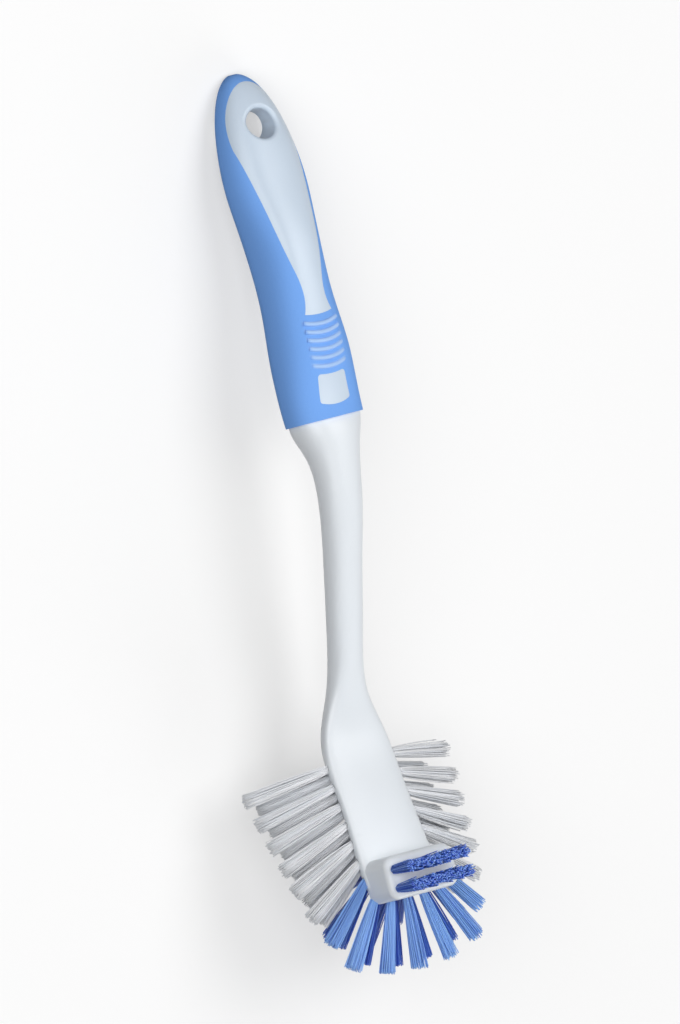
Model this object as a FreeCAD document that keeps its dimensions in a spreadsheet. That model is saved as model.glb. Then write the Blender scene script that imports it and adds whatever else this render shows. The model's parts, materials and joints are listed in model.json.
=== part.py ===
"""A dish brush: one white moulding with a soft overmoulded grip and anchored tufts of filament.

The brush is drawn with its handle along Y, the end of the handle at +Y, the toe at -Y and its back up.
The level of the handle's axis at the lower rim of the grip is the origin of the drawing. Every finished
piece is then tipped together, so that the brush rests on its rear tufts and on the end of its handle.
"""

import FreeCAD
import Part
import Sketcher

import math
import os

Vector = FreeCAD.Vector
Placement = FreeCAD.Placement
Rotation = FreeCAD.Rotation

# Driving dimensions, in millimetres and degrees
SIZES = (
    # Handle: distance behind the grip's lower rim, level of the top, width, depth and height above the widest line
    ("rim_top", 10.0),
    ("rim_width", 24.8),
    ("rim_depth", 18.1),
    ("rim_crown", 9.2),
    ("thumb_behind", 16.0),
    ("thumb_top", 12.0),
    ("thumb_width", 24.8),
    ("thumb_depth", 20.4),
    ("thumb_crown", 10.8),
    ("pinch_behind", 30.0),
    ("pinch_top", 13.2),
    ("pinch_width", 22.7),
    ("pinch_depth", 20.4),
    ("pinch_crown", 12.0),
    ("waist_behind", 44.0),
    ("waist_top", 13.8),
    ("waist_width", 21.0),
    ("waist_depth", 20.8),
    ("waist_crown", 12.7),
    ("palm_behind", 60.0),
    ("palm_top", 13.8),
    ("palm_width", 22.8),
    ("palm_depth", 21.0),
    ("palm_crown", 12.5),
    ("swell_behind", 74.0),
    ("swell_top", 12.0),
    ("swell_width", 25.6),
    ("swell_depth", 18.3),
    ("swell_crown", 11.0),
    ("tip_behind", 108.3),
    ("tip_top", 7.9),
    ("tip_depth", 11.9),
    ("tip_crown", 8.7),
    # Grip
    ("grip_wall", 2.2),
    ("rim_step", 0.9),
    ("tenon", 1.5),
    ("panel_start", 32.0),
    ("panel_start_width", 9.8),
    ("panel_pinch", 37.5),
    ("panel_pinch_width", 7.5),
    ("panel_waist", 48.0),
    ("panel_waist_width", 10.8),
    ("panel_middle", 66.0),
    ("panel_middle_width", 16.6),
    ("panel_wide", 85.5),
    ("panel_width", 21.7),
    ("panel_end_gap", 3.0),
    ("panel_foot", 3.0),
    ("window_start", 5.0),
    ("window_end", 13.7),
    ("window_start_width", 11.0),
    ("window_end_width", 9.8),
    ("window_bow", 1.2),
    ("window_corner", 1.0),
    ("rib_count", 6),
    ("rib_first", 15.45),
    ("rib_pitch", 2.61),
    ("rib_height", 0.55),
    ("rib_width", 11.8),
    ("rib_bend", 12.8),
    ("rib_thickness", 1.7),
    ("rib_lean", 53.0),
    # Hanging hole, with a dish round it in the handle's underside
    ("hole_behind", 91.6),
    ("hole_diameter", 9.6),
    ("hole_round", 1.2),
    ("dish_depth", 6.0),
    ("dish_diameter", 17.6),
    ("collar_wall", 1.0),
    # Neck and head: distance ahead of the grip's lower rim, level of the top, width and depth
    ("flare_ahead", 6.0),
    ("flare_top", 9.1),
    ("flare_width", 19.8),
    ("flare_depth", 16.8),
    ("throat_ahead", 20.0),
    ("throat_top", 6.0),
    ("throat_width", 14.0),
    ("throat_depth", 13.0),
    ("stem_ahead", 35.0),
    ("stem_top", 0.4),
    ("stem_width", 12.6),
    ("stem_depth", 12.0),
    ("neck_ahead", 50.0),
    ("neck_top", -6.4),
    ("neck_width", 11.6),
    ("neck_depth", 11.4),
    ("wrist_ahead", 66.0),
    ("wrist_top", -13.5),
    ("wrist_width", 11.0),
    ("wrist_depth", 10.9),
    ("heel_ahead", 82.0),
    ("heel_top", -21.5),
    ("heel_width", 13.4),
    ("heel_depth", 11.0),
    ("shoulder_ahead", 94.0),
    ("shoulder_top", -25.4),
    ("shoulder_width", 21.4),
    ("head_ahead", 104.0),
    ("head_top", -25.0),
    ("head_width", 24.0),
    ("head_depth", 11.3),
    ("head_tilt", 9.0),
    ("head_edge", 2.6),
    ("toe_ahead", 134.0),
    ("toe_width", 25.8),
    ("nose_ahead", 146.6),
    ("nose_round", 6.0),
    # Raised block on the toe
    ("block_ahead", 133.2),
    ("block_top", -9.5),
    ("block_root", 4.0),
    ("block_set_in", 0.25),
    ("block_corner", 3.2),
    ("block_round", 2.0),
    # Tufts
    ("tuft_hole", 2.4),
    ("tuft_hole_depth", 5.0),
    ("tuft_clearance", 0.04),
    ("tuft_collar", 1.4),
    ("tuft_tip", 5.0),
    ("anchor_bite", 0.3),
    ("anchor_thickness", 0.4),
    ("anchor_height", 1.6),
    ("anchor_foot", 0.8),
    # Rows of tufts round the head: set in from its rim, depth below its back, dip and length of the tufts
    ("rim_row_ahead", 102.4),
    ("rim_row_set_in", 0.2),
    ("rim_row_drop", 3.6),
    ("rim_row_rear_dip", 21.0),
    ("rim_row_front_dip", 16.0),
    ("rim_row_rear_length", 28.0),
    ("rim_row_front_length", 22.2),
    ("side_row_set_in", 2.6),
    ("side_row_drop", 6.6),
    ("side_row_rear_dip", 30.0),
    ("side_row_front_dip", 20.0),
    ("side_row_rear_length", 25.0),
    ("side_row_front_length", 20.5),
    ("lower_row_set_in", 7.0),
    ("lower_row_drop", 9.0),
    ("lower_row_dip", 62.0),
    ("centre_row_ahead", 107.0),
    ("centre_row_pitch", 6.6),
    ("trim_drop", 33.0),
    # Turn of each rim tuft from straight sideways towards straight ahead
    ("fan_first", 4.0),
    ("fan_second", 9.5),
    ("fan_third", 14.0),
    ("fan_fourth", 19.0),
    ("fan_fifth", 23.5),
    ("fan_sixth", 32.5),
    ("fan_seventh", 44.5),
    ("fan_eighth", 56.5),
    ("fan_ninth", 73.5),
    # Short tufts on the toe block
    ("corner_row_rear", 137.3),
    ("corner_row_front", 143.2),
    ("corner_pitch", 3.3),
    ("corner_length", 10.7),
    ("corner_tip", 3.1),
)

# How square each kind of section is: 2 is an ellipse, more is squarer, less is keener
ROUND = 2.0
GRIP_SQUARE = 2.5
NECK_SQUARE = 2.25
HEEL_SQUARE = 2.6
SHOULDER_SQUARE = 3.4
HEAD_SQUARE = 3.6
SHOULDER_KEEN = 1.9
HEAD_KEEN = 1.7
SECTION_POINTS = 32
LOFT_DEGREE = 3
TIP_SHARES = (0.3, 0.55, 0.75, 0.89, 0.97, 0.995)
NOSE_SHARES = (1.0, 0.45, 0.16, 0.02)

# The search for the rest pose: fineness of the surface points, steepest tip in degrees and number of halvings
REST_DETAIL = 0.02
STEEPEST = 60.0
HALVINGS = 30

# How many tufts stand in each row
SIDE_COUNT = 6
WHITE_BELOW = 6
LOWER_COUNT = 5
CENTRE_COUNT = 5
CORNER_COUNT = 7
FANS = ("first", "second", "third", "fourth", "fifth", "sixth", "seventh", "eighth", "ninth")
STRAIGHT_AHEAD = 90.0

# A length past every surface of the brush, for cutters and sight lines
PAST = 60.0

# How far the dish's cutter runs on past the handle's underside, as a share of the dish
DISH_PAST = 1.5

# Shorter than this, the cross product of two directions means that they are in line
LEVEL_TEST = 0.01

# A direction with more than this along Z runs straight up
UPRIGHT_TEST = 0.99

# Fields of the core that stand through the grip: the panel, which the collar joins, and the window
FIELD_COUNT = 2

# Two lengths that differ by less than this are the same, and how many points of an edge are compared
SAME = 0.01
EDGE_POINTS = 8

doc = FreeCAD.newDocument("dish_brush")
sheet = doc.addObject("Spreadsheet::Sheet", "sizes")
for row, (alias, value) in enumerate(SIZES, start=1):
    sheet.set(f"A{row}", alias)
    sheet.set(f"B{row}", str(value))
    sheet.setAlias(f"B{row}", alias)
doc.recompute()


def size(alias):
    """A driving dimension, read from the sheet."""
    return float(sheet.get(alias))


def add(kind, name, **bound):
    """A new object of the document, with properties bound to expressions of the sheet."""
    made = doc.addObject(kind, name)
    for prop, expression in bound.items():
        made.setExpression(prop, expression)
    return made


def held(name, shape):
    """A form that no primitive or sketch gives, kept as an object of the document."""
    made = doc.addObject("Part::Feature", name)
    made.Shape = shape
    return made


def joined(name, pieces):
    """Several objects fused to one."""
    made = doc.addObject("Part::MultiFuse", name)
    made.Shapes = pieces
    made.Refine = True
    return made


def cut(name, base, tool):
    """One object cut from another."""
    made = doc.addObject("Part::Cut", name)
    made.Base = base
    made.Tool = tool
    return made


def group(name, pieces):
    """Separate solids under one name."""
    made = doc.addObject("Part::Compound", name)
    made.Links = pieces
    return made


# Lofted forms
def section(along, top, width, depth, crown, back, belly):
    """A closed section across the brush: a back half and a belly half that meet at the widest line."""
    points = []
    for step in range(SECTION_POINTS):
        angle = 2 * math.pi * step / SECTION_POINTS
        across = math.cos(angle)
        rise = math.sin(angle)
        upper = rise > 0
        power = 2 / (back if upper else belly)
        reach = crown if upper else depth - crown
        x = width / 2 * math.copysign(abs(across) ** power, across)
        z = top - crown + reach * math.copysign(abs(rise) ** power, rise)
        points.append(Vector(x, along, z))
    curve = Part.BSplineCurve()
    curve.interpolate(Points=points, PeriodicFlag=True)
    return Part.Wire(curve.toShape())


def handle_form(inset, start):
    """The handle from its lower rim to its rounded end, drawn in all round by an inset."""

    def oval(along, axis, width, crown, belly):
        top = axis + crown
        return section(along, top, width, crown + belly, crown, GRIP_SQUARE, GRIP_SQUARE)

    def measures(name):
        top, depth, crown = [size(f"{name}_{part}") for part in ("top", "depth", "crown")]
        return top - crown, crown - inset, depth - crown - inset

    wires = []
    for name in ("rim", "thumb", "pinch", "waist", "palm", "swell"):
        along = start if name == "rim" else size(f"{name}_behind")
        axis, crown, belly = measures(name)
        wires.append(oval(along, axis, size(f"{name}_width") - 2 * inset, crown, belly))
    swell_axis, swell_crown, swell_belly = measures("swell")
    tip_axis, tip_crown, tip_belly = measures("tip")
    reach = size("tip_behind") - inset - size("swell_behind")
    for share in TIP_SHARES:
        along = size("swell_behind") + reach * share
        axis = swell_axis + (tip_axis - swell_axis) * share
        width = (size("swell_width") - 2 * inset) * math.sqrt(1 - share**2)
        thinning = math.sqrt(1 - share**4)
        crown = (swell_crown + (tip_crown - swell_crown) * share) * thinning
        belly = (swell_belly + (tip_belly - swell_belly) * share) * thinning
        wires.append(oval(along, axis, width, crown, belly))
    return Part.makeLoft(wires, True, False, False, LOFT_DEGREE)


def back_level(ahead):
    """The level of the head's flat back at a distance ahead of the grip's rim."""
    rise = math.tan(math.radians(size("head_tilt")))
    return size("head_top") + (ahead - size("head_ahead")) * rise


def shank_form():
    """The neck and the head, from the shoulder under the grip's rim to the nose."""
    step = size("rim_step")
    depth = size("rim_depth") - 2 * step
    crown = size("rim_crown") - step
    width = size("rim_width") - 2 * step
    wires = [section(0, size("rim_top") - step, width, depth, crown, GRIP_SQUARE, GRIP_SQUARE)]
    for name in ("flare", "throat", "stem", "neck", "wrist"):
        ahead, top, width, depth = [size(f"{name}_{part}") for part in ("ahead", "top", "width", "depth")]
        wires.append(section(-ahead, top, width, depth, depth / 2, NECK_SQUARE, NECK_SQUARE))
    edge = size("head_edge")
    heel_depth = size("heel_depth")
    heel_crown = (heel_depth / 2 + edge) / 2
    wires.append(
        section(
            -size("heel_ahead"),
            size("heel_top"),
            size("heel_width"),
            heel_depth,
            heel_crown,
            HEEL_SQUARE,
            ROUND,
        )
    )
    full = size("head_depth")
    wires.append(
        section(
            -size("shoulder_ahead"),
            size("shoulder_top"),
            size("shoulder_width"),
            full,
            edge,
            SHOULDER_SQUARE,
            SHOULDER_KEEN,
        )
    )
    for name in ("head", "toe"):
        ahead = size(f"{name}_ahead")
        width = size(f"{name}_width")
        wires.append(section(-ahead, back_level(ahead), width, full, edge, HEAD_SQUARE, HEAD_KEEN))
    bend = size("nose_round")
    for share in NOSE_SHARES:
        left = bend * share
        inset = bend - math.sqrt(bend**2 - (bend - left) ** 2)
        ahead = size("nose_ahead") - left
        width = size("toe_width") - 2 * inset
        wires.append(section(-ahead, back_level(ahead), width, full - inset, edge, HEAD_SQUARE, HEAD_KEEN))
    return Part.makeLoft(wires, True, False, False, LOFT_DEGREE)


def way_out(form, start, heading):
    """How far a sight line from inside a form runs before it leaves the form."""
    sight = Part.makeLine(start, start + heading * PAST)
    return form.common(sight).Length


handle_outer = held("handle_outer", handle_form(0, 0))
handle_inner = held("handle_inner", handle_form(size("grip_wall"), -size("tenon")))
shank = held("shank", shank_form())


# Fields of the core that stand through the grip
def panel_outline():
    """The long panel in plan: an arched lower end, drawn-in sides and a half ellipse at the far end."""
    half_wide = size("panel_width") / 2
    wide = size("panel_wide")
    end = size("tip_behind") - size("panel_end_gap")
    turns = (
        Vector(half_wide, wide, 0),
        Vector(size("panel_middle_width") / 2, size("panel_middle"), 0),
        Vector(size("panel_waist_width") / 2, size("panel_waist"), 0),
        Vector(size("panel_pinch_width") / 2, size("panel_pinch"), 0),
        Vector(size("panel_start_width") / 2, size("panel_start"), 0),
    )
    edges = []
    for side in (1, -1):
        curve = Part.BSplineCurve()
        curve.interpolate(Points=[Vector(point.x * side, point.y, 0) for point in turns])
        edges.append(curve.toShape())
    low = turns[-1]
    bow = Vector(0, low.y - size("window_bow") / 2, 0)
    edges.append(Part.Arc(Vector(low.x, low.y, 0), bow, Vector(-low.x, low.y, 0)).toShape())
    far = Part.Ellipse(Vector(0, end, 0), Vector(half_wide, wide, 0), Vector(0, wide, 0))
    edges.append(Part.ArcOfEllipse(far, -math.pi / 2, math.pi / 2).toShape())
    return Part.Wire(Part.__sortEdges__(edges))


def window_outline():
    """The small window in plan: straight sides and two bowed ends."""
    near = size("window_start_width") / 2
    far = size("window_end_width") / 2
    start = size("window_start")
    end = size("window_end")
    bow = size("window_bow")
    near_arc = Part.Arc(Vector(-near, start, 0), Vector(0, start - bow, 0), Vector(near, start, 0))
    far_arc = Part.Arc(Vector(-far, end, 0), Vector(0, end - bow / 2, 0), Vector(far, end, 0))
    sides = [
        Part.makeLine(Vector(-near, start, 0), Vector(-far, end, 0)),
        Part.makeLine(Vector(near, start, 0), Vector(far, end, 0)),
    ]
    return Part.Wire(Part.__sortEdges__([near_arc.toShape(), far_arc.toShape()] + sides))


def upright(outline, level):
    """A prism that stands on an outline at a level."""
    face = Part.Face(outline)
    face.translate(Vector(0, 0, level))
    return face.extrude(Vector(0, 0, PAST))


def is_upright(edge):
    """True for an edge that runs straight up."""
    return abs(edge.tangentAt(edge.FirstParameter).z) > UPRIGHT_TEST


panel_prism = held("panel_prism", upright(panel_outline(), size("panel_foot")))
window_block = upright(window_outline(), size("panel_foot"))
posts = [edge for edge in window_block.Edges if is_upright(edge)]
window_prism = held("window_prism", window_block.makeFillet(size("window_corner"), posts))
collar = add("Part::Cylinder", "collar", Radius="sizes.dish_diameter / 2 + sizes.collar_wall")
collar.setExpression("Height", f"{PAST} + sizes.panel_foot")
collar.Placement.Base = Vector(0, size("hole_behind"), -PAST)
field_tools = joined("field_tools", [panel_prism, window_prism, collar])
fields = doc.addObject("Part::Common", "fields")
fields.Base = handle_outer
fields.Tool = field_tools


# Raised block on the toe
def origin_plane(body, role):
    """One of a body's own origin planes."""
    return [plane for plane in body.Origin.OriginFeatures if plane.Role == role][0]


def centred_rectangle(sketch, width, length):
    """A rectangle centred on the sketch's origin, with both sizes bound to expressions."""
    corners = [Vector(-1, -1, 0), Vector(1, -1, 0), Vector(1, 1, 0), Vector(-1, 1, 0)]
    for index in range(4):
        sketch.addGeometry(Part.LineSegment(corners[index], corners[(index + 1) % 4]))
    for index in range(4):
        sketch.addConstraint(Sketcher.Constraint("Coincident", index, 2, (index + 1) % 4, 1))
    for index in (0, 2):
        sketch.addConstraint(Sketcher.Constraint("Horizontal", index))
        sketch.addConstraint(Sketcher.Constraint("Vertical", index + 1))
    sketch.addConstraint(Sketcher.Constraint("Symmetric", 0, 1, 1, 2, -1, 1))
    for edge, name, expression in ((0, "width", width), (1, "length", length)):
        number = sketch.addConstraint(Sketcher.Constraint("Distance", edge, 2.0))
        sketch.renameConstraint(number, name)
        sketch.setExpression(f"Constraints.{name}", expression)


block_floor = back_level(size("nose_ahead")) - size("block_root")
block = doc.addObject("PartDesign::Body", "toe_block")
block_plan = block.newObject("Sketcher::SketchObject", "block_plan")
block_plan.AttachmentSupport = [(origin_plane(block, "XY_Plane"), "")]
block_plan.MapMode = "FlatFace"
block_plan.AttachmentOffset = Placement(Vector(0, 0, block_floor), Rotation())
block_plan.setExpression("AttachmentOffset.Base.y", "-(sizes.block_ahead + sizes.nose_ahead) / 2")
centred_rectangle(
    block_plan,
    "sizes.toe_width - 2 * sizes.block_set_in",
    "sizes.nose_ahead - sizes.block_ahead",
)
block_pad = block.newObject("PartDesign::Pad", "block_pad")
block_pad.Profile = block_plan
block_pad.setExpression("Length", f"sizes.block_top - ({block_floor})")
doc.recompute()


def rounded(body, name, base, radius, wanted):
    """A fillet on the edges of a feature that a test picks."""
    numbers = [f"Edge{number}" for number, edge in enumerate(base.Shape.Edges, start=1) if wanted(edge)]
    fillet = body.newObject("PartDesign::Fillet", name)
    fillet.Base = (base, numbers)
    fillet.setExpression("Radius", radius)
    doc.recompute()
    return fillet


def is_on_top(edge):
    """True for an edge in the block's top face."""
    box = edge.BoundBox
    return abs(box.ZMin - size("block_top")) < SAME and box.ZLength < SAME


block_corners = rounded(block, "block_corners", block_pad, "sizes.block_corner", is_upright)
block_rounding = rounded(block, "block_rounding", block_corners, "sizes.block_round", is_on_top)
block.Tip = block_rounding
doc.recompute()

# White core before it is drilled
blank = joined("core_blank", [handle_inner, fields, shank, block])
doc.recompute()

# Tufts
head_form = shank.Shape.fuse(block.Shape)
tilt = math.radians(size("head_tilt"))
AHEAD = Vector(0, -math.cos(tilt), math.sin(tilt))
UP = Vector(0, math.sin(tilt), math.cos(tilt))
SIDEWAYS = Vector(1, 0, 0)
DRAWING_UP = Vector(0, 0, 1)


def heading(side, fan, dip):
    """The direction of a tuft that turns by fan from straight sideways and dips below the head's plane."""
    turn = math.radians(fan)
    down = math.radians(dip)
    level = SIDEWAYS * (side * math.cos(turn)) + AHEAD * math.sin(turn)
    return level * math.cos(down) - UP * math.sin(down)


def rim_length(set_in):
    """The length of the rim line from its first tuft to the middle of the nose."""
    bend = size("nose_round") - set_in if set_in < size("nose_round") else 0
    straight = size("nose_ahead") - size("nose_round") - size("rim_row_ahead")
    if not bend:
        straight = size("nose_ahead") - set_in - size("rim_row_ahead")
    half = size("toe_width") / 2 - set_in
    return straight + bend * math.pi / 2 + half - bend


def rim_point(share, set_in, drop):
    """A point on the right half of the rim line, at a share of its length, below the head's back."""
    bend = size("nose_round") - set_in if set_in < size("nose_round") else 0
    half = size("toe_width") / 2 - set_in
    corner = size("nose_ahead") - set_in - bend
    straight = corner - size("rim_row_ahead")
    gone = share * rim_length(set_in)
    if gone <= straight:
        ahead = size("rim_row_ahead") + gone
        narrow = (size("toe_width") - size("head_width")) / 2
        lag = (size("toe_ahead") - ahead) / (size("toe_ahead") - size("head_ahead"))
        x = half - narrow * max(lag, 0)
    elif gone <= straight + bend * math.pi / 2:
        angle = (gone - straight) / bend
        ahead = corner + bend * math.sin(angle)
        x = half - bend + bend * math.cos(angle)
    else:
        ahead = size("nose_ahead") - set_in
        x = half - bend - (gone - straight - bend * math.pi / 2)
    return Vector(x, -ahead, back_level(ahead)) - UP * drop


def fan_at(place):
    """The turn of a tuft at a place in the rim row, between the turns of its neighbours."""
    turns = [size(f"fan_{name}") for name in FANS] + [STRAIGHT_AHEAD]
    below = min(int(place), len(turns) - 2)
    return turns[below] + (turns[below + 1] - turns[below]) * (place - below)


def graded(row, measure, place):
    """A measure of a row at a place in it: it changes evenly along the head's sides and stays round the toe."""
    rear = size(f"{row}_rear_{measure}")
    front = size(f"{row}_front_{measure}")
    return rear + (front - rear) * min(place / SIDE_COUNT, 1)


def aimed(direction):
    """The turn that points a tuft along a direction, with its anchor level across it."""
    across = direction.cross(UP)
    if across.Length < LEVEL_TEST:
        across = SIDEWAYS
    return Rotation(across, direction.cross(across), direction, "ZXY")


seats = []
anchors = []


def tuft(name, mouth, direction, length, tip):
    """One tuft in its own hole, with the wire anchor across its foot. length is what stands out of the hole."""
    foot = mouth - direction * size("tuft_hole_depth")
    stand = Placement(foot, aimed(direction))
    hole = add("Part::Cylinder", f"{name}_hole", Radius="sizes.tuft_hole / 2")
    hole.setExpression("Height", "sizes.tuft_hole_depth + sizes.tuft_collar")
    hole.Placement = stand
    stem = add("Part::Cylinder", f"{name}_stem", Radius="sizes.tuft_hole / 2 - sizes.tuft_clearance")
    stem.setExpression("Height", "sizes.tuft_hole_depth + sizes.tuft_collar")
    stem.Placement = stand
    spread = add("Part::Cone", f"{name}_spread", Radius1="sizes.tuft_hole / 2 - sizes.tuft_clearance")
    spread.setExpression("Radius2", f"sizes.{tip} / 2")
    spread.setExpression("Height", f"{length} - sizes.tuft_collar")
    lift = Placement(Vector(0, 0, size("tuft_hole_depth") + size("tuft_collar")), Rotation())
    spread.Placement = stand.multiply(lift)
    anchor = add("Part::Box", f"{name}_anchor", Length="sizes.tuft_hole + 2 * sizes.anchor_bite")
    anchor.setExpression("Width", "sizes.anchor_thickness")
    anchor.setExpression("Height", "sizes.anchor_height")
    half_length = size("tuft_hole") / 2 + size("anchor_bite")
    corner = Vector(-half_length, -size("anchor_thickness") / 2, size("anchor_foot"))
    anchor.Placement = stand.multiply(Placement(corner, Rotation()))
    seats.append(joined(f"{name}_seat", [hole, anchor]))
    anchors.append(anchor)
    return cut(name, joined(f"{name}_bundle", [stem, spread]), anchor)


def head_tuft(name, aim, direction, length=None):
    """A tuft that leaves the head near an aim. Without a length it reaches the flat trim of the underside."""
    start = aim - direction * size("tuft_hole_depth")
    mouth = start + direction * way_out(head_form, start, direction)
    if length is None:
        drop = (Vector(0, -size("head_ahead"), size("head_top")) - mouth).dot(UP)
        length = (size("trim_drop") - drop) / -direction.dot(UP)
    return tuft(name, mouth, direction, length, "tuft_tip")


nodes = []
SIDES = (("left", -1), ("right", 1))
rim_steps = len(FANS)


def mirrored(point, side):
    """A point of the right half, on the side that is asked for."""
    return Vector(point.x * side, point.y, point.z)


# Rim row: the upper tufts that show all round the head
for side_name, side in SIDES:
    for step in range(rim_steps):
        aim = rim_point(step / rim_steps, size("rim_row_set_in"), size("rim_row_drop"))
        way = heading(side, fan_at(step), graded("rim_row", "dip", step))
        length = graded("rim_row", "length", step)
        kind = "rim_tuft" if step < SIDE_COUNT else "rim_front_tuft"
        number = step + 1 if step < SIDE_COUNT else step - SIDE_COUNT + 1
        nodes.append(head_tuft(f"{kind}_{side_name}_{number}", mirrored(aim, side), way, length))
aim = rim_point(1, size("rim_row_set_in"), size("rim_row_drop"))
way = heading(1, STRAIGHT_AHEAD, size("rim_row_front_dip"))
nodes.append(head_tuft("rim_front_tuft_middle", aim, way, size("rim_row_front_length")))

# Side row: between the rim tufts, and lower
for side_name, side in SIDES:
    for step in range(rim_steps):
        place = step + 0.5
        aim = rim_point(place / rim_steps, size("side_row_set_in"), size("side_row_drop"))
        way = heading(side, fan_at(place), graded("side_row", "dip", place))
        length = graded("side_row", "length", place)
        kind = "side_tuft" if step < WHITE_BELOW else "side_front_tuft"
        number = step + 1 if step < WHITE_BELOW else step - WHITE_BELOW + 1
        nodes.append(head_tuft(f"{kind}_{side_name}_{number}", mirrored(aim, side), way, length))

# Lower row: under the head, trimmed flat
for side_name, side in SIDES:
    for step in range(LOWER_COUNT):
        share = step / LOWER_COUNT
        aim = rim_point(share, size("lower_row_set_in"), size("lower_row_drop"))
        way = heading(side, fan_at(share * rim_steps), size("lower_row_dip"))
        nodes.append(head_tuft(f"lower_tuft_{side_name}_{step + 1}", mirrored(aim, side), way))
aim = rim_point(1, size("lower_row_set_in"), size("lower_row_drop"))
way = heading(1, STRAIGHT_AHEAD, size("lower_row_dip"))
nodes.append(head_tuft("lower_tuft_middle", aim, way))

# Centre row: straight down under the middle of the head
for step in range(CENTRE_COUNT):
    ahead = size("centre_row_ahead") + step * size("centre_row_pitch")
    aim = Vector(0, -ahead, back_level(ahead)) - UP * size("head_depth")
    nodes.append(head_tuft(f"centre_tuft_{step + 1}", aim, -UP))

# Corner rows: short tufts that stand up from the toe block
for row_name in ("rear", "front"):
    short_tufts = []
    for step in range(CORNER_COUNT):
        x = (step - (CORNER_COUNT - 1) / 2) * size("corner_pitch")
        mouth = Vector(x, -size(f"corner_row_{row_name}"), size("block_top"))
        name = f"corner_{row_name}_{step + 1}"
        short_tufts.append(tuft(name, mouth, DRAWING_UP, size("corner_length"), "corner_tip"))
    nodes.append(group(f"corner_row_{row_name}_tufts", short_tufts))
nodes.append(group("tuft_anchors", anchors))

# White core: drilled for the tufts and for the hanging hole, which is dished underneath
hole_middle = Vector(0, size("hole_behind"), 0)
underside = -way_out(handle_outer.Shape, hole_middle, -DRAWING_UP)
bore = add("Part::Cylinder", "hanging_bore", Radius="sizes.hole_diameter / 2", Height=f"2 * {PAST}")
bore.Placement.Base = hole_middle - DRAWING_UP * PAST
dish = add("Part::Cone", "dish", Radius2="sizes.hole_diameter / 2", Height=f"sizes.dish_depth * {DISH_PAST}")
flare = f"(sizes.dish_diameter - sizes.hole_diameter) / 2 * {DISH_PAST}"
dish.setExpression("Radius1", f"sizes.hole_diameter / 2 + {flare}")
dish_foot = underside - size("dish_depth") * (DISH_PAST - 1)
dish.Placement.Base = hole_middle + DRAWING_UP * dish_foot
drills = group("drills", seats + [bore, dish])
core_drilled = cut("core_drilled", blank, drills)
doc.recompute()


def is_bore_rim(edge):
    """True for an edge that goes round the upper end of the hanging hole."""
    radius = size("hole_diameter") / 2
    for point in edge.discretize(EDGE_POINTS):
        if abs(math.hypot(point.x, point.y - size("hole_behind")) - radius) > SAME:
            return False
    return edge.BoundBox.XLength > radius and edge.BoundBox.ZMin > underside + size("dish_depth") + SAME


core = doc.addObject("Part::Fillet", "handle_core")
core.Base = core_drilled
rims = [number for number, edge in enumerate(core_drilled.Shape.Edges, start=1) if is_bore_rim(edge)]
core.Edges = [(number, size("hole_round"), size("hole_round")) for number in rims]
nodes.append(core)

# Soft grip with its thumb ribs
ribs = []
rib_sweep = 2 * math.degrees(math.asin(size("rib_width") / 2 / size("rib_bend")))
for step in range(int(size("rib_count"))):
    along = size("rib_first") + step * size("rib_pitch")
    crest = way_out(handle_outer.Shape, Vector(0, along, 0), DRAWING_UP) + size("rib_height")
    middle = Vector(0, along, crest - size("rib_thickness") / 2)
    rib = add("Part::Torus", f"rib_{step + 1}", Radius1="sizes.rib_bend", Radius2="sizes.rib_thickness / 2")
    rib.Angle3 = rib_sweep
    lean = Rotation(SIDEWAYS, 90 + size("rib_lean"))
    reach = lean.multVec(Vector(0, size("rib_bend"), 0))
    centring = Rotation(DRAWING_UP, 90 - rib_sweep / 2)
    rib.Placement = Placement(middle - reach, lean.multiply(centring))
    ribs.append(rib)
grip = cut("soft_grip", joined("grip_blank", [handle_outer] + ribs), blank)
nodes.append(grip)
doc.recompute()


# Rest pose: on the rear tufts and the end of the handle
def outer_points(shapes):
    """Points on the surface of several shapes."""
    points = []
    for shape in shapes:
        points.extend(shape.tessellate(REST_DETAIL)[0])
    return points


def lowest(points, angle):
    """The lowest level of some points that are tipped about the X axis."""
    turn = math.radians(angle)
    return min(point.y * math.sin(turn) + point.z * math.cos(turn) for point in points)


def rest_angle(front, rear):
    """The tip about X at which two sets of points stand equally low, by halving an interval."""
    least = -STEEPEST
    most = STEEPEST
    for _ in range(HALVINGS):
        angle = (least + most) / 2
        if lowest(front, angle) < lowest(rear, angle):
            most = angle
        else:
            least = angle
    return (least + most) / 2


tuft_shapes = [node.Shape for node in nodes if "tuft" in node.Name and node.Name != "tuft_anchors"]
tip = Rotation(SIDEWAYS, rest_angle(outer_points(tuft_shapes), outer_points([grip.Shape])))
whole = Part.makeCompound([node.Shape for node in nodes])
whole.Placement = Placement(Vector(), tip)
box = whole.optimalBoundingBox(False)
rest = Placement(Vector(0, -box.Center.y, -box.ZMin), tip)
for node in nodes:
    node.Placement = rest
doc.recompute()

# Checks before anything is written
for made in doc.Objects:
    if "Invalid" in made.State or "Error" in made.State:
        raise RuntimeError(f"{made.Name} failed")
if len(fields.Shape.Solids) != FIELD_COUNT:
    raise RuntimeError("a field of the core is missing")
for node in nodes:
    node.Label = node.Name
    if node.Shape.isNull() or not node.Shape.isValid():
        raise RuntimeError(f"{node.Label} has no valid shape")

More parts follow.
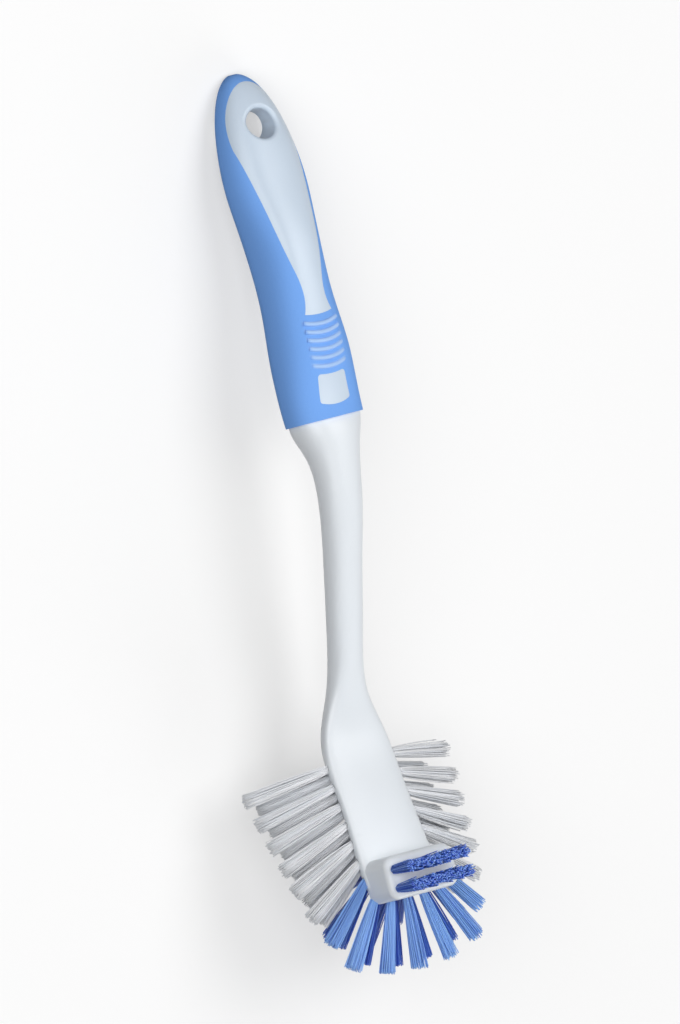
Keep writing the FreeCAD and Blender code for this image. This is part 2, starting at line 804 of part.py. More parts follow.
os.makedirs("parts", exist_ok=True)
for node in nodes:
    node.Shape.exportStep(f"parts/{node.Label}.step")
wall = [face for face in core.Shape.Faces if face.Surface.TypeId == "Part::GeomCylinder"]
wall = [face for face in wall if abs(face.Surface.Radius - size("hole_diameter") / 2) < SAME]
print("nodes", len(nodes), "tipped by", round(math.degrees(tip.Angle), 3))
print("hanging hole at", rest.multVec(hole_middle), "along", tip.multVec(DRAWING_UP))
for face in wall:
    level = [tip.inverted().multVec(vertex.Point - rest.Base).z for vertex in face.Vertexes]
    print("bore wall from", round(min(level), 3), "to", round(max(level), 3), "area", round(face.Area, 2))
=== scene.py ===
# %% [markdown]
# # A dish brush with a soft blue grip
#
# The brush is a white moulding with a soft overmoulded grip and tufts of plastic filament. Its solid form
# comes from a CAD model, which is loaded here as a fixed frame. This script gives the moulding and the grip
# their finishes, turns each solid tuft into a bundle of separate filaments, and sets up floor, light and
# camera.

import json
import math

import bpy
import numpy as np
from mathutils import Matrix, Vector


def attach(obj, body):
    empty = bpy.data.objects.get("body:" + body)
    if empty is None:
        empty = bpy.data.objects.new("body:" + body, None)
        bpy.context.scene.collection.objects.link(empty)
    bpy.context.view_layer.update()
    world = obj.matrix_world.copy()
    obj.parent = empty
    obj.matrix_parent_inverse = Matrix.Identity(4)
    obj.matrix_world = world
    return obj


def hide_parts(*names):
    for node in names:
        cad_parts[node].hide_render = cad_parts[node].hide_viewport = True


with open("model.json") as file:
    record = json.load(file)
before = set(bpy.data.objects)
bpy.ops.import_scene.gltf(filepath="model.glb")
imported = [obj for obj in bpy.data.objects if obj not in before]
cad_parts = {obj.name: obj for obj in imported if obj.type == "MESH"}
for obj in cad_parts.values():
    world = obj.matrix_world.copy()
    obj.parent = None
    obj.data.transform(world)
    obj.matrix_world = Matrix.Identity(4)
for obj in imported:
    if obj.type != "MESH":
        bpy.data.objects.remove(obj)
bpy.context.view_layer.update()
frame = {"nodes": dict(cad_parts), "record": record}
nodes = frame["nodes"]

# %% [markdown]
# ## One frame for sizes and pictures
#
# Everything is in metres, but the sizes of a brush are easier to read in millimetres, so `MM` turns one into
# the other. The brush lies tipped on its tufts and on the end of its handle. The hanging hole is the one
# place that the record gives in numbers: its axis is the brush's own up direction, and from its middle the
# handle runs a known distance to the lower rim of the grip. From these two facts come the brush's own three
# axes, which place the camera, the light and the patterns on the handle.

# %% The brush's own axes
MM = 0.001
HOLE_BEHIND_RIM = 91.6 * MM
HOLE_MOUNT_LEVEL = 5.2 * MM

hole = [mount for mount in frame["record"]["mounts"] if mount["name"] == "hang_hole"][0]
BRUSH_UP = Vector(hole["axis"]).normalized()
BRUSH_SIDE = Vector((1, 0, 0))
BRUSH_BACK = BRUSH_UP.cross(BRUSH_SIDE).normalized()
RIM_MIDDLE = Vector(hole["pos_m"]) - BRUSH_UP * HOLE_MOUNT_LEVEL - BRUSH_BACK * HOLE_BEHIND_RIM
print("lower rim of the grip, in mm:", [round(1000 * x, 2) for x in RIM_MIDDLE])

# %% [markdown]
# ## Small helpers for materials
#
# Colours are written as sRGB hex values, as a colour picker shows them, and one function turns them to the
# linear values that shader sockets take. A second one adds a node, sets its values and links its inputs, so
# that each material below reads as a list of its nodes. A third one starts a material.


# %% Helpers for colours and nodes
def linear(hex_colour):
    """An sRGB hex colour as linear red, green, blue and alpha."""
    values = []
    for start in (1, 3, 5):
        part = int(hex_colour[start : start + 2], 16) / 255
        values.append(part / 12.92 if part <= 0.04045 else ((part + 0.055) / 1.055) ** 2.4)
    return (*values, 1.0)


def node(tree, kind, settings=None, **inputs):
    """A node of a tree, with its settings, values and links. An input named _0 is the first socket."""
    made = tree.nodes.new(kind)
    for name, value in (settings or {}).items():
        setattr(made, name, value)
    for name, value in inputs.items():
        key = int(name[1:]) if name[0] == "_" else name.replace("_", " ")
        if isinstance(value, bpy.types.NodeSocket):
            tree.links.new(value, made.inputs[key])
        else:
            made.inputs[key].default_value = value
    return made


def new_material(name):
    """An empty material with a Principled shader, its tree and that shader."""
    material = bpy.data.materials.new(name)
    material.use_nodes = True
    tree = material.node_tree
    return material, tree, tree.nodes["Principled BSDF"]


print("mid grey as a linear value:", round(linear("#808080")[0], 3))

# %% [markdown]
# ## Distances along the brush
#
# Two finishes change along the handle. They could follow an unwrapped picture, but the CAD meshes stay as
# they are, so a surface point is measured instead: its offset from the grip's lower rim, taken along one of
# the brush's own axes.


# %% Distance of a surface point from the rim
def along_brush(tree, axis):
    """The distance of a surface point from the grip's lower rim along one of the brush's axes, in metres."""
    place = node(tree, "ShaderNodeTexCoord").outputs["Object"]
    offset = node(tree, "ShaderNodeVectorMath", {"operation": "SUBTRACT"}, _0=place, _1=RIM_MIDDLE)
    reach = node(tree, "ShaderNodeVectorMath", {"operation": "DOT_PRODUCT"}, _0=offset.outputs[0], _1=axis)
    return reach.outputs["Value"]


print("the handle runs along", [round(x, 3) for x in BRUSH_BACK])

# %% [markdown]
# ## White moulding: polypropylene
#
# The head, the neck and the core of the handle are one injection moulding in white polypropylene. It is a
# waxy plastic: a little light goes in and comes out again beside where it went in, which softens the shaded
# side, and the polished mould leaves a satin gloss with a faint unevenness. On the handle the panel and the
# window get a cooler, slightly darker white: painted blue light from the grip, which lies round and behind
# them. Two materials on two sets of faces would need a choice of faces, so one material changes its colour
# to this painted light where the handle starts.

# %% Polypropylene
POLYPROPYLENE_IOR = 1.49
MOULD_RIPPLE = 7.0 * MM
MOULD_GRAIN = 0.5 * MM
TINT_CHANGE = 3.0 * MM

polypropylene, tree, shader = new_material("polypropylene_moulded_white")
on_handle = node(
    tree,
    "ShaderNodeMapRange",
    {"interpolation_type": "SMOOTHSTEP"},
    Value=along_brush(tree, BRUSH_BACK),
    From_Min=0.0,
    From_Max=TINT_CHANGE,
)
ripple = node(tree, "ShaderNodeTexNoise", Scale=1 / MOULD_RIPPLE, Detail=2.0)
grain = node(tree, "ShaderNodeTexNoise", Scale=1 / MOULD_GRAIN, Detail=1.0)
# Painted light: a cooler, slightly darker white on the handle stands for blue light from the grip.
painted_grip_light = node(
    tree,
    "ShaderNodeMix",
    {"data_type": "RGBA"},
    Factor=on_handle.outputs["Result"],
    _6=linear("#E8EDF2"),
    _7=linear("#CFDDEC"),
)
tree.links.new(painted_grip_light.outputs[2], shader.inputs["Base Color"])
gloss = node(tree, "ShaderNodeMapRange", Value=ripple.outputs[0], To_Min=0.26, To_Max=0.38)
tree.links.new(gloss.outputs["Result"], shader.inputs["Roughness"])
skin = node(tree, "ShaderNodeBump", Strength=0.05, Distance=0.02 * MM, Height=grain.outputs[0])
tree.links.new(skin.outputs["Normal"], shader.inputs["Normal"])
shader.inputs["IOR"].default_value = POLYPROPYLENE_IOR
shader.inputs["Subsurface Weight"].default_value = 0.15
shader.inputs["Subsurface Radius"].default_value = (1.0, 1.0, 1.0)
shader.inputs["Subsurface Scale"].default_value = 1.2 * MM

moulding = nodes["handle_core"]
moulding.data.materials.clear()
moulding.data.materials.append(polypropylene)
print("white moulding:", len(moulding.data.polygons), "faces")

# %% [markdown]
# ## Thumb ribs: painted highlights on the crests
#
# Six ribs stand across the grip, where the thumb lies. They catch the light, so their crests get a painted
# highlight: a lighter blue along each crest. They stand at a steady pitch and curve back at both ends. So the
# distance along the handle is first straightened by that curve and then counted in ribs: a whole number is a
# crest, and half-way between two is a groove. The painted highlight lines end at the first and the last rib,
# and at the ribs' width.

# %% Painted highlight lines along the ribs
RIB_FIRST = 15.45 * MM
RIB_PITCH = 2.61 * MM
RIB_COUNT = 6
RIB_HALF_WIDTH = 6.8 * MM
RIB_BEND = 12.8 * MM
RIB_LEAN = math.radians(53.0)
# Shares of the pitch at which a painted highlight line has faded out and is full, and of the half width that
# is full
CREST_EDGE = 0.42
CREST_FULL = 0.06
WIDTH_FULL = 0.75


def rib_crest_highlights(tree):
    """Painted highlight: 1 along the crests of the ribs, falling to 0 in the grooves, and 0 on the rest of the
    grip.
    """
    to_side = along_brush(tree, BRUSH_SIDE)
    square = node(tree, "ShaderNodeMath", {"operation": "MULTIPLY"}, _0=to_side, _1=to_side)
    straight = node(
        tree,
        "ShaderNodeMath",
        {"operation": "MULTIPLY_ADD"},
        _0=square.outputs[0],
        _1=-math.sin(RIB_LEAN) / (2 * RIB_BEND),
        _2=along_brush(tree, BRUSH_BACK),
    )
    ribs = node(
        tree,
        "ShaderNodeMapRange",
        {"clamp": False},
        Value=straight.outputs[0],
        From_Min=RIB_FIRST,
        From_Max=RIB_FIRST + RIB_PITCH,
    ).outputs["Result"]
    nearest = node(tree, "ShaderNodeMath", {"operation": "ROUND"}, _0=ribs)
    off_crest = node(tree, "ShaderNodeMath", {"operation": "SUBTRACT"}, _0=ribs, _1=nearest.outputs[0])
    apart = node(tree, "ShaderNodeMath", {"operation": "ABSOLUTE"}, _0=off_crest.outputs[0])
    crest = node(
        tree,
        "ShaderNodeMapRange",
        {"interpolation_type": "SMOOTHSTEP"},
        Value=apart.outputs[0],
        From_Min=CREST_EDGE,
        From_Max=CREST_FULL,
    ).outputs["Result"]
    past_middle = node(tree, "ShaderNodeMath", {"operation": "SUBTRACT"}, _0=ribs, _1=(RIB_COUNT - 1) / 2)
    distance = node(tree, "ShaderNodeMath", {"operation": "ABSOLUTE"}, _0=past_middle.outputs[0])
    in_rows = node(
        tree, "ShaderNodeMath", {"operation": "LESS_THAN"}, _0=distance.outputs[0], _1=RIB_COUNT / 2
    ).outputs[0]
    side_reach = node(tree, "ShaderNodeMath", {"operation": "ABSOLUTE"}, _0=to_side)
    in_width = node(
        tree,
        "ShaderNodeMapRange",
        {"interpolation_type": "SMOOTHSTEP"},
        Value=side_reach.outputs[0],
        From_Min=RIB_HALF_WIDTH,
        From_Max=RIB_HALF_WIDTH * WIDTH_FULL,
    ).outputs["Result"]
    above = along_brush(tree, BRUSH_UP)
    on_top = node(tree, "ShaderNodeMath", {"operation": "GREATER_THAN"}, _0=above, _1=0.0).outputs[0]
    rows = node(tree, "ShaderNodeMath", {"operation": "MULTIPLY"}, _0=crest, _1=in_rows).outputs[0]
    strip = node(tree, "ShaderNodeMath", {"operation": "MULTIPLY"}, _0=in_width, _1=on_top).outputs[0]
    return node(tree, "ShaderNodeMath", {"operation": "MULTIPLY"}, _0=rows, _1=strip).outputs[0]


print("ribs:", RIB_COUNT, "over", round((RIB_COUNT - 1) * RIB_PITCH / MM, 2), "mm")

# %% [markdown]
# ## Soft grip: thermoplastic elastomer
#
# The grip is moulded over the handle in a rubbery elastomer. Its mould is finely grained, so it scatters
# light almost evenly and has hardly any gloss. A plain colour would look like paint, so the blue varies
# slightly from place to place, the grain is a fine bump, and the crests of the ribs get a painted highlight in
# a lighter blue.

# %% Elastomer
ELASTOMER_IOR = 1.5
ELASTOMER_GRAIN = 0.35 * MM
ELASTOMER_MOTTLE = 9.0 * MM

elastomer, tree, shader = new_material("elastomer_overmoulded_blue")
mottle = node(tree, "ShaderNodeTexNoise", Scale=1 / ELASTOMER_MOTTLE, Detail=2.0)
blue = node(
    tree,
    "ShaderNodeMix",
    {"data_type": "RGBA"},
    Factor=mottle.outputs[0],
    _6=linear("#7AAEF8"),
    _7=linear("#82B5FC"),
)
# Painted highlight: a lighter blue along the rib crests, where they catch the light.
painted_crest_highlight = node(
    tree,
    "ShaderNodeMix",
    {"data_type": "RGBA"},
    Factor=rib_crest_highlights(tree),
    _6=blue.outputs[2],
    _7=linear("#B2D1FC"),
)
tree.links.new(painted_crest_highlight.outputs[2], shader.inputs["Base Color"])
grain = node(tree, "ShaderNodeTexNoise", Scale=1 / ELASTOMER_GRAIN, Detail=1.0)
skin = node(tree, "ShaderNodeBump", Strength=0.15, Distance=0.04 * MM, Height=grain.outputs[0])
tree.links.new(skin.outputs["Normal"], shader.inputs["Normal"])
shader.inputs["IOR"].default_value = ELASTOMER_IOR
shader.inputs["Roughness"].default_value = 0.7
shader.inputs["Specular IOR Level"].default_value = 0.04

grip = nodes["soft_grip"]
grip.data.materials.clear()
grip.data.materials.append(elastomer)
print("soft grip:", len(grip.data.polygons), "faces")

# %% [markdown]
# ## Anchors: drawn wire
#
# Each tuft is folded in two over a short flat wire that is driven into its hole. The wires are hidden in the
# head, but they are part of the brush, so they get the finish of drawn brass. One gloss all over would look
# cast, so a fine noise breaks it up as drawing through a die does.

# %% Brass
WIRE_STREAK = 0.4 * MM

brass, tree, shader = new_material("brass_drawn_wire")
drawn = node(tree, "ShaderNodeTexNoise", Scale=1 / WIRE_STREAK, Detail=2.0)
wire_gloss = node(tree, "ShaderNodeMapRange", Value=drawn.outputs[0], To_Min=0.25, To_Max=0.45)
tree.links.new(wire_gloss.outputs["Result"], shader.inputs["Roughness"])
shader.inputs["Base Color"].default_value = linear("#D9B36A")
shader.inputs["Metallic"].default_value = 1.0

anchors = nodes["tuft_anchors"]
anchors.data.materials.clear()
anchors.data.materials.append(brass)
print("anchors:", len(anchors.data.polygons), "faces")

# %% [markdown]
# ## Filaments: polyester
#
# The tufts are drawn polyester filament, about a third of a millimetre thick, in white at the sides and in
# blue round the toe. A drawn filament is smooth, so it has a narrow gloss along its length, and lets a little
# light through, the white ones more than the blue. No two are lit alike. A random value for each object would
# need an object for each filament, so each filament carries a tone of its own, a number from 0 to 1 that is
# kept on its mesh and mixes a dark and a light shade.

# %% Polyester
POLYESTER_IOR = 1.57
POLYESTER_ROUGHNESS = 0.35


def filament_material(name, dark, light, through):
    """A filament finish whose shade follows the tone that each filament carries. Some light comes through."""
    material, tree, shader = new_material(name)
    tone = node(tree, "ShaderNodeAttribute", {"attribute_name": "tone"})
    shade = node(
        tree,
        "ShaderNodeMix",
        {"data_type": "RGBA"},
        Factor=tone.outputs["Fac"],
        _6=linear(dark),
        _7=linear(light),
    )
    tree.links.new(shade.outputs[2], shader.inputs["Base Color"])
    shader.inputs["IOR"].default_value = POLYESTER_IOR
    shader.inputs["Roughness"].default_value = POLYESTER_ROUGHNESS
    glow = node(tree, "ShaderNodeBsdfTranslucent", Color=shade.outputs[2])
    both = node(tree, "ShaderNodeMixShader", _0=through, _1=shader.outputs[0], _2=glow.outputs[0])
    tree.links.new(both.outputs[0], tree.nodes["Material Output"].inputs["Surface"])
    return material


white_filament = filament_material("polyester_filament_white", "#F0F4FA", "#FCFDFF", 0.1)
blue_filament = filament_material("polyester_filament_blue", "#1850C8", "#92C2FF", 0.05)
print("filament finishes:", white_filament.name, blue_filament.name)

# %% [markdown]
# ## Reading a tuft's axis from its solid
#
# In the CAD model a tuft is a plain solid: a stem in its hole, then a cone out to the trimmed end. The bundle
# of filaments has to fill that same space, so its axis is read from the solid instead of being typed in
# again. An average over the whole mesh gives a first axis, which points away from the head. The middles of
# the two end rings then give the exact one.

# %% Axis, length and end of each tuft
RING_DEPTH = 0.05 * MM
CENTRING_ROUNDS = 20
AXIS_ROUNDS = 2


def ring_middle(points, reach, end):
    """The middle of the ring of points that lie farthest along an axis, and its radius."""
    ring = points[np.abs(reach - end) < RING_DEPTH]
    middle = (ring.min(axis=0) + ring.max(axis=0)) / 2
    for _ in range(CENTRING_ROUNDS):
        spans = ring - middle
        far = np.linalg.norm(spans, axis=1)
        middle = middle + (spans * (far - far.mean())[:, None] / far[:, None]).mean(axis=0)
    return middle, np.linalg.norm(ring - middle, axis=1).max()


def tuft_axis(points, head_middle):
    """Foot, direction, length and end radius of one tuft, from the points of its solid."""
    middle = points.mean(axis=0)
    axis = np.linalg.svd(points - middle, full_matrices=False)[2][0]
    if axis @ (middle - head_middle) < 0:
        axis = -axis
    for _ in range(AXIS_ROUNDS):
        reach = points @ axis
        foot, _ = ring_middle(points, reach, reach.min())
        end, radius = ring_middle(points, reach, reach.max())
        axis = (end - foot) / np.linalg.norm(end - foot)
    return foot, axis, np.linalg.norm(end - foot), radius


def node_points(name):
    """The vertices of a CAD node as rows of three numbers."""
    return np.array([vertex.co for vertex in nodes[name].data.vertices])


head_middle = node_points("tuft_anchors").mean(axis=0)
front_length = tuft_axis(node_points("rim_front_tuft_middle"), head_middle)[2]
print("middle front tuft, with its foot, in mm:", round(front_length / MM, 1))

# %% [markdown]
# ## The lines of the filaments
#
# A tuft's filaments start packed in the round hole and spread to the trimmed end. Blender's hair could grow
# them, but hair isn't a mesh, and every piece of the brush has to be one. Points of a sunflower spiral fill a
# disc evenly without rows, so they place the roots, and the same places on a larger disc give the ends. Each
# filament then gets small differences of its own: a little bow, an uneven cut, and for a few of them a stray
# lean. Blue filaments are also crimped, a fine wave that was pressed in before they were cut.

# %% Lines of the filaments
HOLE_DEPTH = 5.0 * MM
ROOT_RADIUS = 0.98 * MM
ROOT_JITTER = 0.04 * MM
ROOT_DEPTH = 1.2 * MM
GOLDEN_TURN = math.pi * (3 - math.sqrt(5))
NEARLY_UPRIGHT = 0.9


def spread_disc(count):
    """Places that fill a disc of radius 1 evenly."""
    number = np.arange(count) + 0.5
    angle = number * GOLDEN_TURN
    return np.sqrt(number / count)[:, None] * np.stack([np.cos(angle), np.sin(angle)], axis=1)


def cross_axes(axis):
    """Two directions that stand square to an axis and to each other."""
    across = np.cross(axis, (0.0, 0.0, 1.0) if abs(axis[2]) < NEARLY_UPRIGHT else (1.0, 0.0, 0.0))
    across /= np.linalg.norm(across)
    return across, np.cross(axis, across)


def filament_lines(rng, tuft, count, steps, look):
    """Points along the middle of each filament of a tuft: filaments, steps, and x, y, z."""
    foot, axis, length, radius = tuft
    across, beside = cross_axes(axis)
    turn = rng.uniform(0, 2 * math.pi)
    turned = np.array([[math.cos(turn), -math.sin(turn)], [math.sin(turn), math.cos(turn)]])
    disc = spread_disc(count) @ turned
    root = disc * ROOT_RADIUS + rng.normal(0, ROOT_JITTER, disc.shape)
    end = disc * (radius * look["spread"]) + rng.normal(0, look["jitter"], disc.shape)
    stray = rng.random(count) < look["stray_share"]
    end[stray] += rng.normal(0, look["stray"], (stray.sum(), 2))
    bow = rng.normal(0, look["bow"], disc.shape)
    reach = (length - HOLE_DEPTH) * (1 - np.abs(rng.normal(0, look["ragged"], count)))
    phase = rng.uniform(0, 2 * math.pi, count)
    facing = rng.uniform(0, 2 * math.pi, count)
    wave_way = np.stack([np.cos(facing), np.sin(facing)], axis=1)
    lines = np.zeros((count, steps, 3))
    for step, t in enumerate(np.linspace(0, 1, steps)):
        along = -ROOT_DEPTH + (reach + ROOT_DEPTH) * t
        place = root + (end - root) * t ** look["flare"] + bow * (4 * t * (1 - t))
        wave = look["crimp"] * np.sin(phase + along / look["crimp_length"] * 2 * math.pi)
        place = place + (wave * t)[:, None] * wave_way
        depth = axis * (HOLE_DEPTH + along)[:, None]
        lines[:, step] = foot + depth + place[:, :1] * across + place[:, 1:] * beside
    return lines


print("places for 60 roots reach", round(np.linalg.norm(spread_disc(60), axis=1).max(), 3), "of the radius")

# %% [markdown]
# ## Tubes round the lines
#
# A filament could be a curve with a bevel, but thousands of curves are slow, and a tone can't be kept on a
# curve's points. So every filament is a closed tube of its real thickness, made directly from its line with
# five sides, which is enough for something this thin. All tubes of a tuft are one mesh, and that mesh stands
# for the CAD node of the tuft.

# %% Tubes and pieces
FILAMENT = 0.33 * MM
SIDES = 5


def filament_tubes(lines, axis):
    """Closed tubes round filament lines: their vertices and faces."""
    count, steps, _ = lines.shape
    across, beside = cross_axes(axis)
    angles = 2 * math.pi * np.arange(SIDES) / SIDES
    ring = np.cos(angles)[:, None] * across + np.sin(angles)[:, None] * beside
    points = lines[:, :, None, :] + ring * (FILAMENT / 2)
    faces = []
    for first in range(0, count * steps * SIDES, steps * SIDES):
        last = first + (steps - 1) * SIDES
        for low in range(first, last, SIDES):
            for side in range(SIDES):
                after = (side + 1) % SIDES
                faces.append((low + side, low + after, low + SIDES + after, low + SIDES + side))
        faces.append(tuple(first + side for side in reversed(range(SIDES))))
        faces.append(tuple(last + side for side in range(SIDES)))
    return points.reshape(-1, 3), faces


def bundle(rng, tuft, count, steps, look):
    """Tubes of one tuft: vertices, faces, and the tone of each vertex."""
    points, faces = filament_tubes(filament_lines(rng, tuft, count, steps, look), tuft[1])
    tone = np.clip(rng.normal(look["tone"], look["tone_spread"], count), 0, 1)
    return points, faces, np.repeat(tone, steps * SIDES)


def tuft_piece(cad_node, bundles, material):
    """One piece of filaments that stands for a CAD tuft."""
    name = f"filaments_{cad_node}"
    points, faces, tones, used = [], [], [], 0
    for some_points, some_faces, some_tones in bundles:
        faces.extend(tuple(index + used for index in face) for face in some_faces)
        points.append(some_points)
        tones.append(some_tones)
        used += len(some_points)
    mesh = bpy.data.meshes.new(name)
    mesh.from_pydata(np.concatenate(points).tolist(), [], faces)
    tone = mesh.attributes.new("tone", "FLOAT", "POINT")
    tone.data.foreach_set("value", np.concatenate(tones).astype(np.float32))
    mesh.polygons.foreach_set("use_smooth", [len(face) == 4 for face in faces])
    mesh.materials.append(material)
    mesh.update()
    piece = bpy.data.objects.new(name, mesh)
    bpy.context.scene.collection.objects.link(piece)
    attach(piece, "root")
    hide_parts(cad_node)
    return piece


print("a filament is", FILAMENT / MM, "mm thick and has", SIDES, "sides")

# %% [markdown]
# ## Tufts round the head
#
# Which colour a tuft has is already in the record, as its material slot. White filaments are straight and a
# little loose at their ends. Blue ones are crimped, so they stay closer together. The blue tufts behind the
# first row are darker, partly a darker blue filament and partly painted shade from the first row above them,
# so they have a look of their own. In a look, spread is the width of the ends as a share of the solid's,
# ragged is the share by which the cut varies, a flare below 1 opens the tuft early, and jitter, stray, bow
# and crimp are lengths.

# %% Long tufts
WHITE_LOOK = {
    "spread": 1.0,
    "jitter": 0.12 * MM,
    "stray_share": 0.04,
    "stray": 0.9 * MM,
    "bow": 0.12 * MM,
    "ragged": 0.025,
    "flare": 0.6,
    "crimp": 0.0,
    "crimp_length": 6.0 * MM,
    "tone": 0.6,
    "tone_spread": 0.25,
}
BLUE_LOOK = {
    **WHITE_LOOK,
    "jitter": 0.1 * MM,
    "stray_share": 0.03,
    "ragged": 0.02,
    "crimp": 0.03 * MM,
    "crimp_length": 1.9 * MM,
    "tone": 0.92,
}
# Painted shade: a low tone darkens the blue tufts behind the first row, for the shade the first row casts on
# them as well as their darker blue.
SHADED_BLUE_LOOK = {**BLUE_LOOK, "tone": 0.12, "tone_spread": 0.12}
FILAMENT_COUNT = 60
STRAIGHT_STEPS = 8
CRIMPED_STEPS = 26
SEED = 8359

slots = {part["node"]: part["material_slot"] for part in frame["record"]["subparts"]}
rng = np.random.default_rng(SEED)
tuft_names = sorted(name for name in nodes if "tuft" in name and name != "tuft_anchors")
long_tufts = [name for name in tuft_names if not name.startswith("corner_row")]
for name in long_tufts:
    white = slots[name] == "white_filament"
    look = WHITE_LOOK if white else BLUE_LOOK if name.startswith("rim") else SHADED_BLUE_LOOK
    steps = STRAIGHT_STEPS if white else CRIMPED_STEPS
    tuft = tuft_axis(node_points(name), head_middle)
    filaments = bundle(rng, tuft, FILAMENT_COUNT, steps, look)
    tuft_piece(name, [filaments], white_filament if white else blue_filament)
print("long tufts:", len(long_tufts), "with", FILAMENT_COUNT, "filaments each")

# %% [markdown]
# ## Short rows on the toe
#
# Two rows of seven short tufts stand up from the toe block. They are cut level and pressed together until
# they read as two strips. A strip could be one wide bundle, but its filaments come out of seven holes, so
# each tuft is made by itself, with ends that spread wider and a stronger crimp, and a row is one piece. A low
# tone darkens the rows: painted shade, for the shade down among their close cut ends.

# %% Short tufts
SHORT_LOOK = {
    **BLUE_LOOK,
    "spread": 1.15,
    "jitter": 0.3 * MM,
    "stray": 0.5 * MM,
    "crimp": 0.12 * MM,
    # Painted shade: the low tone darkens the short rows, for the shade down among their cut ends.
    "tone": 0.25,
}
SHORT_STEPS = 14
SHORT_TUFTS = 7
SHORT_PITCH = 3.3 * MM

for name in sorted(set(tuft_names) - set(long_tufts)):
    row = node_points(name)
    bundles = []
    for number in range(SHORT_TUFTS):
        x = (number - (SHORT_TUFTS - 1) / 2) * SHORT_PITCH
        tuft = tuft_axis(row[np.abs(row[:, 0] - x) < SHORT_PITCH / 2], head_middle)
        bundles.append(bundle(rng, tuft, FILAMENT_COUNT, SHORT_STEPS, SHORT_LOOK))
    tuft_piece(name, bundles, blue_filament)
    print(name, "with", SHORT_TUFTS, "short tufts")

# %% [markdown]
# ## Floor
#
# The brush lies on a plain surface that looks white in the picture. A wide disc is enough. Nearly half of
# what the camera sees of it is an even white, mixed with the lit surface, so that the shadow stays and is
# soft and light. Away from the brush the even white takes over, so no edge shows against the white
# surroundings. Light that bounces off it towards the brush meets a middle grey, as it would on a small sheet
# in a larger room, so the brush keeps a shaded side.


# %% Rays that see the background
def pictured(tree):
    """1 for rays that make the picture of a white background, straight on, mirrored or through glass."""
    path = node(tree, "ShaderNodeLightPath").outputs
    direct = node(
        tree, "ShaderNodeMath", {"operation": "MAXIMUM"}, _0=path["Is Camera Ray"], _1=path["Is Glossy Ray"]
    )
    return node(
        tree, "ShaderNodeMath", {"operation": "MAXIMUM"}, _0=direct.outputs[0], _1=path["Is Transmission Ray"]
    ).outputs[0]


# %% White floor
FLOOR_RADIUS = 3.0
FLOOR_SIDES = 96
EVEN_SHARE = 0.45
SHADOW_REACH = 0.25
ALL_EVEN = 0.8
PAPER_FIBRE = 2.0 * MM

floor_finish, tree, shader = new_material("paper_matte_white")
fibre = node(tree, "ShaderNodeTexNoise", Scale=1 / PAPER_FIBRE, Detail=2.0)
fibre_gloss = node(tree, "ShaderNodeMapRange", Value=fibre.outputs[0], To_Min=0.85, To_Max=0.95)
seen = pictured(tree)
sheet = node(
    tree,
    "ShaderNodeMix",
    {"data_type": "RGBA"},
    Factor=seen,
    _6=linear("#808080"),
    _7=linear("#FFFFFF"),
)
shader.inputs["Specular IOR Level"].default_value = 0.0
tree.links.new(fibre_gloss.outputs["Result"], shader.inputs["Roughness"])
tree.links.new(sheet.outputs[2], shader.inputs["Base Color"])
even = node(tree, "ShaderNodeEmission", Color=linear("#FFFFFF"), Strength=1.0)
place = node(tree, "ShaderNodeTexCoord").outputs["Object"]
from_brush = node(tree, "ShaderNodeVectorMath", {"operation": "LENGTH"}, _0=place)
evenness = node(
    tree,
    "ShaderNodeMapRange",
    {"interpolation_type": "SMOOTHSTEP"},
    Value=from_brush.outputs["Value"],
    From_Min=SHADOW_REACH,
    From_Max=ALL_EVEN,
    To_Min=EVEN_SHARE,
    To_Max=1.0,
)
share = node(tree, "ShaderNodeMath", {"operation": "MULTIPLY"}, _0=seen, _1=evenness.outputs["Result"])
blend = node(tree, "ShaderNodeMixShader", _0=share.outputs[0], _1=shader.outputs[0], _2=even.outputs[0])
tree.links.new(blend.outputs[0], tree.nodes["Material Output"].inputs["Surface"])

bpy.ops.mesh.primitive_circle_add(vertices=FLOOR_SIDES, radius=FLOOR_RADIUS, fill_type="NGON")
floor = bpy.context.object
floor.name = "floor"
floor.data.materials.append(floor_finish)
print("floor radius in m:", FLOOR_RADIUS)

# %% [markdown]
# ## Camera
#
# The photograph was taken from above and from the left, with the handle leaning to the left in the picture.
# Parallel edges stay parallel in it, so the lens is long. The picture plane is built from the brush's own
# axes: the brush is turned about its length, and its length leans away from straight up in the picture.

# %% Camera at the photograph's angle
PICTURE_WIDTH = 680
PICTURE_HEIGHT = 1024
PIXELS_PER_MM = 3.3
VIEW_TURN = math.radians(33.0)
PICTURE_LEAN = math.radians(14.6)
RIM_PIXEL = (323, 420)
LENS = 900.0
SENSOR = 36.0

level = BRUSH_SIDE * math.cos(VIEW_TURN) + BRUSH_UP * math.sin(VIEW_TURN)
picture_right = level * math.cos(PICTURE_LEAN) - BRUSH_BACK * math.sin(PICTURE_LEAN)
picture_up = level * math.sin(PICTURE_LEAN) + BRUSH_BACK * math.cos(PICTURE_LEAN)
to_camera = picture_right.cross(picture_up)
pixel = MM / PIXELS_PER_MM
aim = RIM_MIDDLE + picture_right * ((PICTURE_WIDTH / 2 - RIM_PIXEL[0]) * pixel)
aim = aim - picture_up * ((PICTURE_HEIGHT / 2 - RIM_PIXEL[1]) * pixel)
distance = PICTURE_HEIGHT * pixel * LENS / SENSOR

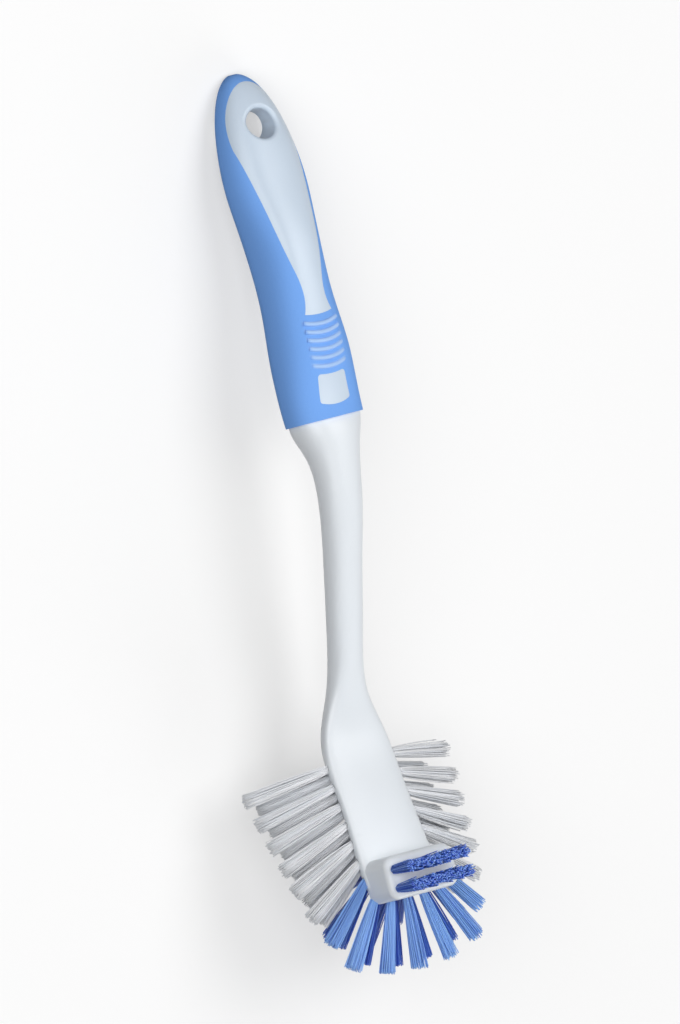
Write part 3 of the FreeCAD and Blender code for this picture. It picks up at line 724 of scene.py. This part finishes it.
camera_data = bpy.data.cameras.new("camera")
camera_data.lens = LENS
camera_data.sensor_width = SENSOR
camera = bpy.data.objects.new("camera", camera_data)
turn = Matrix((picture_right, picture_up, to_camera)).transposed()
camera.matrix_world = Matrix.Translation(aim + to_camera * distance) @ turn.to_4x4()
bpy.context.scene.collection.objects.link(camera)
bpy.context.scene.camera = camera
print("camera distance in m:", round(distance, 3), "lens in mm:", LENS)

# %% [markdown]
# ## Light
#
# Three large soft lamps light the brush, as softboxes would in a studio. The key lamp stands on the right of
# the picture, so the shadow falls to the left and the left of the neck is shaded. The front lamp is wider and
# stands in the camera's direction. It fills what faces the viewer. Both stand high, so a weaker low lamp
# lights the toe and the far side, which show in other views. A weak even surrounding lifts what no lamp
# reaches. Together they are as bright as a white surface needs to look white, so every colour renders about
# as it is written.

# %% Lamps: direction from the brush, width in metres and power in watts
LAMP_DISTANCE = 1.6
LAMPS = {
    "key_softbox": (picture_right * 0.75 + picture_up * 0.2 + to_camera * 0.6, 1.1, 11.0),
    "front_softbox": (to_camera - picture_right * 0.12 - picture_up * 0.03, 1.5, 15.5),
    "low_softbox": (Vector((0.4, -0.8, 0.4)), 0.9, 7.0),
}

for name, (way, width, power) in LAMPS.items():
    lamp_data = bpy.data.lights.new(name, "AREA")
    lamp_data.shape = "DISK"
    lamp_data.size = width
    lamp_data.energy = power
    lamp = bpy.data.objects.new(name, lamp_data)
    lamp.location = way.normalized() * LAMP_DISTANCE
    lamp.rotation_euler = way.to_track_quat("Z", "Y").to_euler()
    bpy.context.scene.collection.objects.link(lamp)
    print(name, "of", width, "m and", power, "W")

# %% Surroundings
SURROUND = 0.12

world = bpy.data.worlds.new("studio")
bpy.context.scene.world = world
world.use_nodes = True
tree = world.node_tree
strength = node(tree, "ShaderNodeMapRange", Value=pictured(tree), To_Min=SURROUND, To_Max=1.0)
background = tree.nodes["Background"]
background.inputs["Color"].default_value = linear("#FFFFFF")
tree.links.new(strength.outputs["Result"], background.inputs["Strength"])
bpy.context.scene.view_settings.view_transform = "Standard"
print("surroundings light the brush with", SURROUND, "of white")
